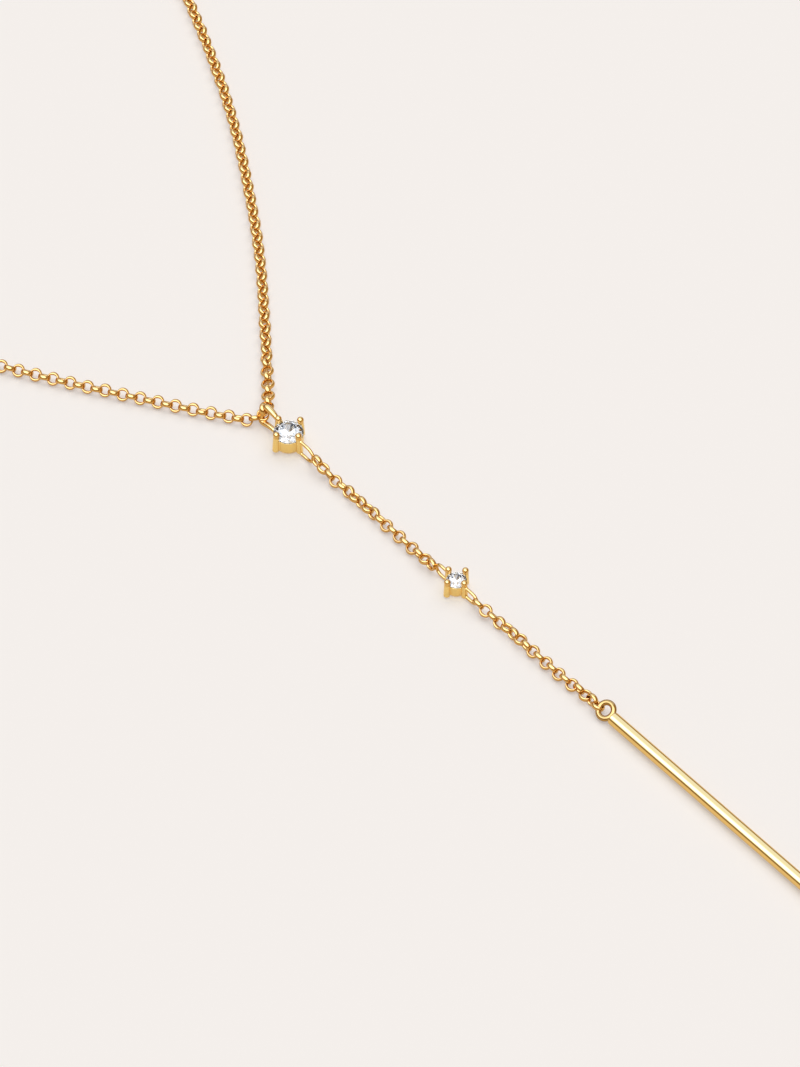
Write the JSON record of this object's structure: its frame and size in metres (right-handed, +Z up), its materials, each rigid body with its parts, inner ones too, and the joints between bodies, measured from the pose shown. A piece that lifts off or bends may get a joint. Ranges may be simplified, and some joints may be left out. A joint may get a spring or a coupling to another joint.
{
  "type": "y necklace",
  "caption": "Fine polished gold-coloured y necklace laid flat, with two round clear stones in four-prong settings and a long plain bar on its drop.",
  "frame": {"origin": "centre of the whole necklace's outline, on the surface that it lies on", "axes": "+Y from the bar's free end along the drop to the clasp, +Z up from the surface, +X to the right seen from above with the clasp at the top"},
  "size_m": [0.0962, 0.2533, 0.0028],
  "materials": {
    "gold": "polished gold-coloured metal",
    "stone": "clear, faceted and polished"
  },
  "bodies": {
    "root": {"chain_left_front": "gold", "chain_left_side": "gold", "chain_left_back": "gold", "chain_right_front": "gold", "chain_right_side": "gold", "chain_right_back": "gold", "drop_chain_upper": "gold", "drop_chain_lower": "gold", "large_setting": "gold", "large_stone": "stone", "small_setting": "gold", "small_stone": "stone", "bar_pendant": "gold", "clasp": "gold"}
  },
  "joints": []
}
